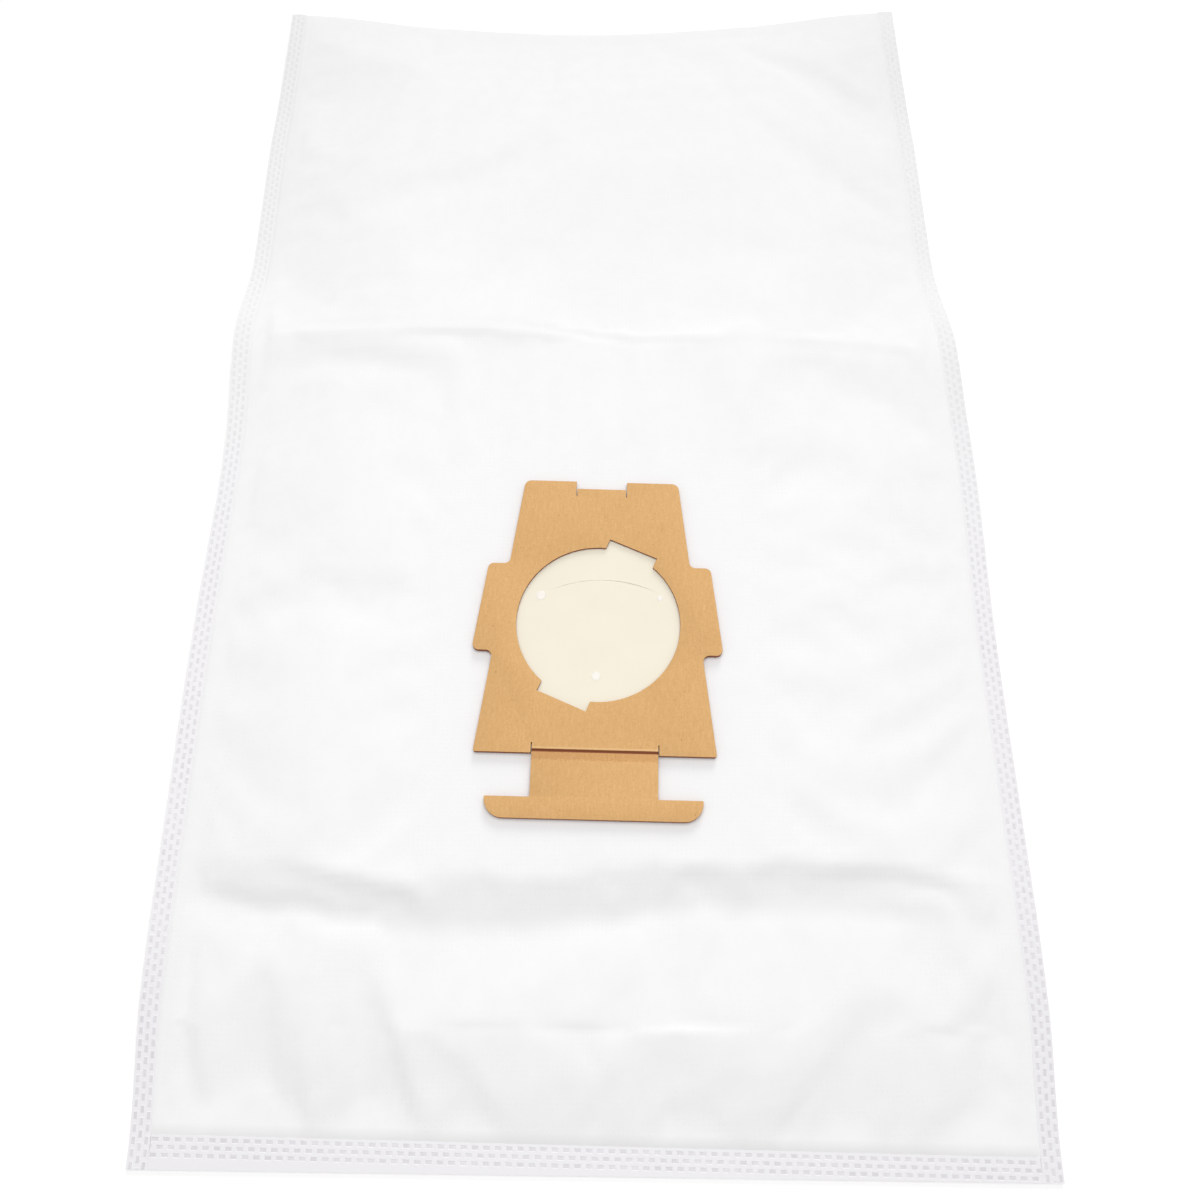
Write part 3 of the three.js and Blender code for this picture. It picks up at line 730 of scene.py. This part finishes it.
def make_bag_cloth():
    across, inset = cloth_columns()
    rows = cloth_rows()
    columns = len(across) - 1
    last_row = len(rows) - 1
    bm = bmesh.new()
    ratio = bm.verts.layers.float.new("wall")
    front = plain_grid(bm, columns, last_row)
    back = plain_grid(bm, columns, last_row)
    bmesh.ops.reverse_faces(bm, faces=list({face for vert in back for face in vert.link_faces}))
    for verts, is_front in ((front, True), (back, False)):
        column = np.array([round(vert.co.x) for vert in verts])
        row = np.array([round(vert.co.y) for vert in verts])
        x, y = laid_out(across[column], rows[row], inset[column])
        y += (weld_line(x) - BOTTOM_WELD) * slant_share(rows[row])
        low, high = back_height(x, y), front_height(x, y)
        from_side, from_bottom = from_weld(x, y)
        in_weld = np.clip(-np.minimum(from_side, from_bottom), 0, None)
        tuck = TUCK_DEPTH * np.minimum(in_weld / TUCK_REACH, 1)
        middle, half = (low + high) / 2, (high - low) / 2 - tuck
        from_top = np.clip((top_edge(x) - y) / FOLD_ROUND, 0, 1)
        half *= np.sqrt(1 - (1 - from_top) ** 2)
        rim = (column == 0) | (column == columns) | (row == 0) | (row == last_row)
        half[rim] = 0
        z = middle + half if is_front else middle - half
        wall = np.clip((half - WALL_START) / CLOTH_WALL, LEAST_WALL, 1)
        for index, vert in enumerate(verts):
            vert.co = (x[index], y[index] - BAG_LENGTH / 2, z[index])
            vert[ratio] = wall[index]
    hole = Vector((COLLAR_X, COLLAR_Y - BAG_LENGTH / 2, 0))
    inside = [vert for vert in front if (vert.co.xy - hole.xy).length < HOLE_RADIUS - HOLE_RING]
    bmesh.ops.delete(bm, geom=inside, context="VERTS")
    bmesh.ops.remove_doubles(bm, verts=bm.verts, dist=WALL_MERGE)
    for vert in bm.verts:
        if vert.is_boundary:
            out = vert.co.xy - hole.xy
            vert.co.xy = hole.xy + out.normalized() * HOLE_RADIUS
    walls = [vert[ratio] for vert in bm.verts]
    piece = finished(bm, "bag_cloth", [CLOTH], "bag_body")
    let_settle(piece)
    group = piece.vertex_groups.new(name="wall")
    for index, weight in enumerate(walls):
        group.add([index], weight, "REPLACE")
    solid = piece.modifiers.new("wall", "SOLIDIFY")
    solid.thickness = CLOTH_WALL * MM
    solid.offset = -1
    solid.vertex_group = "wall"
    return piece


# Weld bands: strips with three staggered rows of dashes, sunk into both faces


def weld_lines(first_row, spacing, inner_edge):
    """Lines along a weld, counted in from its rim, with one on each side of every row of dashes."""
    lines = [0]
    for row in range(DASH_ROWS):
        centre = first_row + row * spacing
        lines += [centre - DASH_WIDTH / 2, centre + DASH_WIDTH / 2]
    return [*lines, inner_edge]


def is_dash(cut, line):
    """Rows of dashes fill every second strip between two lines, and neighbours are staggered."""
    if line % 2 == 0 or line >= 2 * DASH_ROWS:
        return False
    filled = (0, 1, 2) if line // 2 % 2 == 0 else (2, 3, 0)
    return cut % CUTS_PER_PITCH in filled


def make_weld(name, cells, place):
    """place turns a cut along the weld, a line across it and the face into x, y and z."""
    bm = bmesh.new()
    plain_grid(bm, cells, 2 * DASH_ROWS + 1)
    bmesh.ops.solidify(bm, geom=bm.faces, thickness=1)
    top = max(vert.co.z for vert in bm.verts)
    dashes = []
    for face in bm.faces:
        centre = face.calc_center_median()
        if abs(face.normal.z) > 0.5 and is_dash(int(centre.x), int(centre.y)):
            dashes.append(face)
    for vert in bm.verts:
        vert.co = place(vert.co.x, vert.co.y, vert.co.z > top - 0.5)
    bmesh.ops.recalc_face_normals(bm, faces=bm.faces)
    bmesh.ops.inset_region(bm, faces=dashes, thickness=DASH_SLOPE, depth=-DASH_DEPTH,
                           use_even_offset=True)
    for face in dashes:
        face.material_index = 1
    return finished(bm, name, [PRESSED, FUSED], None, smooth=False)


def dash_station(cell):
    """Distance along a weld of each of the four cuts that every pitch has."""
    cuts = (0, DASH_LENGTH - DASH_PITCH / 2, DASH_PITCH / 2, DASH_LENGTH)
    pitch, cut = divmod(int(round(cell)), CUTS_PER_PITCH)
    return pitch * DASH_PITCH + cuts[cut]


def make_side_weld(name, side, first_row):
    lines = weld_lines(first_row, SIDE_DASH_ROW_STEP, SIDE_WELD)
    cells = CUTS_PER_PITCH * int(BAG_LENGTH / DASH_PITCH)
    stretch = BAG_LENGTH / dash_station(cells)

    def place(along, line, is_top):
        row = dash_station(along) * stretch
        inset = lines[int(round(line))]
        half = float(half_width(row))
        x, y = laid_out(side * (half - inset) / half, row)
        low = float(back_height(x, y))
        x, y = float(x), float(y)
        return x, y - BAG_LENGTH / 2, low + (WELD_THICKNESS if is_top else 0)

    return make_weld(name, cells, place)


def make_bottom_weld():
    inner = BAG_WIDTH / 2 - BOTTOM_DRAW_IN - SIDE_WELD
    cells = CUTS_PER_PITCH * int(2 * inner / DASH_PITCH)
    stretch = 2 * inner / dash_station(cells)

    def place(along, line, is_top):
        x = dash_station(along) * stretch - inner
        share = (x + inner) / (2 * inner)
        first = BOTTOM_FIRST_ROW_LEFT + (BOTTOM_FIRST_ROW_RIGHT - BOTTOM_FIRST_ROW_LEFT) * share
        lines = weld_lines(first, BOTTOM_DASH_ROW_STEP, float(weld_line(x)))
        y = float(bottom_edge(x)) + lines[int(round(line))]
        low = float(back_height(np.array(x), np.array(y)))
        return x, y - BAG_LENGTH / 2, low + (WELD_THICKNESS if is_top else 0)

    return make_weld("bottom_weld", cells, place)


# Collar board: the CAD board with its edges broken by the knife

BOARD_MERGE = 0.01
FLAT_ANGLE, CUT_ANGLE = math.radians(0.5), math.radians(35)
BROKEN_EDGE = 0.14


def make_kraft_collar():
    bm = bmesh.new()
    bm.from_mesh(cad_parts["collar_board"].data)
    bmesh.ops.scale(bm, vec=(1 / MM, 1 / MM, 1 / MM), verts=bm.verts)
    bmesh.ops.remove_doubles(bm, verts=bm.verts, dist=BOARD_MERGE)
    bmesh.ops.dissolve_limit(bm, angle_limit=FLAT_ANGLE, verts=bm.verts, edges=bm.edges)
    piece = finished(bm, "kraft_collar", [KRAFT], "collar_board")
    edges = piece.modifiers.new("broken_edges", "BEVEL")
    edges.width = BROKEN_EDGE * MM
    edges.segments = 2
    edges.limit_method = "ANGLE"
    edges.angle_limit = CUT_ANGLE
    edges.harden_normals = True
    return piece


# Film valve: a disc with one curved slit, whose lips stand a little apart

FILM_COLUMNS, FILM_ROWS = 72, 50
FILM_SLACK, FILM_SLACK_RADIUS = 0.35, 33
FILM_SWELL, FILM_SWELL_SPREAD, FILM_SWELL_PLACE = 0.25, 17, 3.1
FILM_CREASE_HEIGHT, FILM_CREASE_WIDTH, FILM_CREASE_LEAN = 0.12, 0.9, 0.02
FILM_CREASE_TOP, FILM_CREASE_TOP_FADE = 20, 8
FILM_CREASE_BOTTOM, FILM_CREASE_BOTTOM_FADE = -22, 6
FILM_END, FILM_END_MERGE = 0.02, 0.5

# The slit's arc, and half the gap between its lips: wider in one place and pinched in another
SLIT_RADIUS, SLIT_RISE, SLIT_REACH, SLIT_MIDDLE = 51, 19.6, 24.6, 2
SLIT_ROW = 34
SLIT_LIMIT = 0.8
SLIT_TAPER = 9
HALF_GAP, EXTRA_HALF_GAP, WIDE_X, WIDE_SPREAD = 0.045, 0.045, 13, 6
PINCH, PINCH_X, PINCH_SPREAD = 0.4, 0.3, 1.8
LIP_STEP = 0.008


def on_collar(x, y, z):
    """Turns a place measured from the middle of the inlet into the frame."""
    c, s = math.cos(COLLAR_TURN), math.sin(COLLAR_TURN)
    return x * c - y * s + COLLAR_X, x * s + y * c + COLLAR_Y - BAG_LENGTH / 2, z


def film_height(x, y):
    """The film is a little slack, and dips between its glued rim."""
    slack = 1 - min(math.hypot(x, y) / FILM_SLACK_RADIUS, 1) ** 2
    swell = noise.noise(Vector((x / FILM_SWELL_SPREAD, y / FILM_SWELL_SPREAD, FILM_SWELL_PLACE)))
    crease = FILM_CREASE_HEIGHT * math.exp(-((x + FILM_CREASE_LEAN * y) / FILM_CREASE_WIDTH) ** 2)
    crease *= float(ramp((FILM_CREASE_TOP - y) / FILM_CREASE_TOP_FADE))
    crease *= float(ramp((y - FILM_CREASE_BOTTOM) / FILM_CREASE_BOTTOM_FADE))
    return FILM_TOP - slack * (FILM_SLACK + FILM_SWELL * swell) + slack * crease


def on_slit(vert):
    """Tells the points of the slit while a point's z still holds its row."""
    return round(vert.co.z) == SLIT_ROW and abs(vert.co.x - SLIT_MIDDLE) < SLIT_REACH


def lip_of(vert):
    """1 for a point of the upper lip, and -1 for one of the lower lip."""
    lowest = min(face.calc_center_median().z for face in vert.link_faces)
    return 1 if lowest > SLIT_ROW else -1


def lip_offset(x):
    """How far a lip lies from the middle of the slit, and how far from the film's height."""
    open_share = float(ramp((SLIT_REACH - abs(x - SLIT_MIDDLE)) / SLIT_TAPER))
    gap = (HALF_GAP + EXTRA_HALF_GAP * float(bell((x - WIDE_X) / WIDE_SPREAD))) * open_share
    gap *= 1 - PINCH * float(bell((x - PINCH_X) / PINCH_SPREAD))
    return gap, LIP_STEP * open_share


def make_film():
    bm = bmesh.new()
    for vert in plain_grid(bm, FILM_COLUMNS, FILM_ROWS):
        across = -math.cos(math.pi * vert.co.x / FILM_COLUMNS)
        x = FILM_RADIUS * across
        edge = math.sqrt(max(FILM_RADIUS ** 2 - x * x, 0))
        arc = math.sqrt(SLIT_RADIUS ** 2 - (x - SLIT_MIDDLE) ** 2)
        slit = min(SLIT_RISE - SLIT_RADIUS + arc, SLIT_LIMIT * edge)
        row = vert.co.y
        if row <= SLIT_ROW:
            y = -edge + (slit + edge) * row / SLIT_ROW
        else:
            y = slit + (edge - slit) * (row - SLIT_ROW) / (FILM_ROWS - SLIT_ROW)
        vert.co = (x, y, row)
    slit_edges = [edge for edge in bm.edges if all(on_slit(vert) for vert in edge.verts)]
    bmesh.ops.split_edges(bm, edges=slit_edges)
    lips = {vert: lip_of(vert) for vert in bm.verts if vert.is_boundary and on_slit(vert)}
    for vert in bm.verts:
        x, y, _ = vert.co
        z = film_height(x, y)
        if vert in lips:
            aside, step = lip_offset(x)
            y += aside * lips[vert]
            z += step * lips[vert]
        vert.co = (x, y, z)
    ends = [vert for vert in bm.verts if abs(vert.co.x) > FILM_RADIUS - FILM_END]
    bmesh.ops.remove_doubles(bm, verts=ends, dist=FILM_END_MERGE)
    for vert in bm.verts:
        vert.co = on_collar(*vert.co)
    for edge in bm.edges:
        edge.smooth = not edge.is_boundary
    piece = finished(bm, "film_valve", [FILM], "valve_film")
    solid = piece.modifiers.new("thickness", "SOLIDIFY")
    solid.thickness = FILM_THICKNESS * MM
    solid.offset = -1
    return piece


# Drops of glue on the film: the place from the middle of the inlet, and the radius
TACK_HEIGHT = 0.2
TACKS = [(-24.2, 12.0, 2.0), (25.4, 12.1, 1.3), (-0.4, -22.5, 1.9)]


def make_film_tacks():
    """Three low drops of glue that tack the valve's flap down."""
    bm = bmesh.new()
    for x, y, radius in TACKS:
        drop = bmesh.ops.create_uvsphere(bm, u_segments=24, v_segments=12, radius=1)["verts"]
        bmesh.ops.scale(bm, vec=(radius, radius, TACK_HEIGHT), verts=drop)
        bmesh.ops.translate(bm, vec=on_collar(x, y, film_height(x, y)), verts=drop)
    return finished(bm, "film_tacks", [GLUE], None)


# Floor, lamps and sky


FLOOR_HALF_SIDE = 6


def seen_directly(tree):
    """1 for what the camera sees, straight, in a gloss or through a clear body, and 0 for fill."""
    rays = add(tree, "ShaderNodeLightPath").outputs
    seen = rays["Is Camera Ray"]
    for kind in ("Is Glossy Ray", "Is Transmission Ray"):
        seen = add(tree, "ShaderNodeMath", {0: seen, 1: rays[kind]}, operation="MAXIMUM").outputs[0]
    return seen


def make_floor():
    """A pale table that shows the bag's shadow near it and turns plain white farther away."""
    bm = bmesh.new()
    bmesh.ops.create_grid(bm, x_segments=1, y_segments=1, size=FLOOR_HALF_SIDE)
    mesh = bpy.data.meshes.new("floor")
    bm.to_mesh(mesh)
    bm.free()
    floor = bpy.data.objects.new("floor", mesh)
    bpy.context.scene.collection.objects.link(floor)
    material = bpy.data.materials.new("pale_table")
    material.use_nodes = True
    tree = material.node_tree
    tree.nodes.clear()
    paint = add(tree, "ShaderNodeBsdfDiffuse", {"Color": colour("#f8f8f8")})
    point = add(tree, "ShaderNodeNewGeometry")
    away = add(tree, "ShaderNodeVectorMath", {0: point.outputs["Position"]}, operation="LENGTH")
    haze = add(tree, "ShaderNodeMapRange", {
        "Value": away.outputs["Value"],
        "From Min": 0.45, "From Max": 1.4, "To Min": 0.15, "To Max": 0.6,
    })
    lift = add(tree, "ShaderNodeMath",
               {0: seen_directly(tree), 1: haze.outputs["Result"]}, operation="MULTIPLY")
    glow = add(tree, "ShaderNodeEmission", {"Color": (1, 1, 1, 1), "Strength": lift.outputs[0]})
    both = add(tree, "ShaderNodeAddShader", {0: paint.outputs[0], 1: glow.outputs[0]})
    add(tree, "ShaderNodeOutputMaterial", {"Surface": both.outputs[0]})
    mesh.materials.append(material)


def make_sky():
    """A dim, even fill light that looks plain white to the camera."""
    world = bpy.data.worlds.new("sky")
    bpy.context.scene.world = world
    world.use_nodes = True
    tree = world.node_tree
    tree.nodes.clear()
    fill = add(tree, "ShaderNodeBackground", {"Color": colour("#fcfcfe"), "Strength": 0.47})
    white = add(tree, "ShaderNodeBackground", {"Color": (1, 1, 1, 1), "Strength": 1})
    mix = add(tree, "ShaderNodeMixShader",
              {0: seen_directly(tree), 1: fill.outputs[0], 2: white.outputs[0]})
    add(tree, "ShaderNodeOutputWorld", {"Surface": mix.outputs[0]})


def aimed_lamp(name, kind, place):
    """A lamp that looks at the middle of the bag."""
    lamp_data = bpy.data.lights.new(name, kind)
    lamp_data.color = (1, 0.998, 0.975)
    lamp = bpy.data.objects.new(name, lamp_data)
    lamp.location = place
    lamp.rotation_euler = (-lamp.location).to_track_quat("-Z", "Y").to_euler()
    bpy.context.scene.collection.objects.link(lamp)
    return lamp_data


def make_lamps():
    """A softbox overhead, and a slanting light from past the bag's top that shows its folds."""
    softbox = aimed_lamp("softbox", "AREA", (0, -0.03, 1.0))
    softbox.shape = "RECTANGLE"
    softbox.size, softbox.size_y = 0.75, 0.7
    softbox.energy = 5.15
    window = aimed_lamp("window", "SUN", (0.156, 0.889, 0.431))
    window.angle = math.radians(24)
    window.energy = 0.94


bag_cloth = make_bag_cloth()
left_weld = make_side_weld("left_weld", -1, LEFT_FIRST_ROW)
right_weld = make_side_weld("right_weld", 1, RIGHT_FIRST_ROW)
bottom_weld = make_bottom_weld()
make_kraft_collar()
make_film()
make_film_tacks()
make_floor()
make_sky()
make_lamps()

bpy.context.scene.view_settings.view_transform = "Standard"
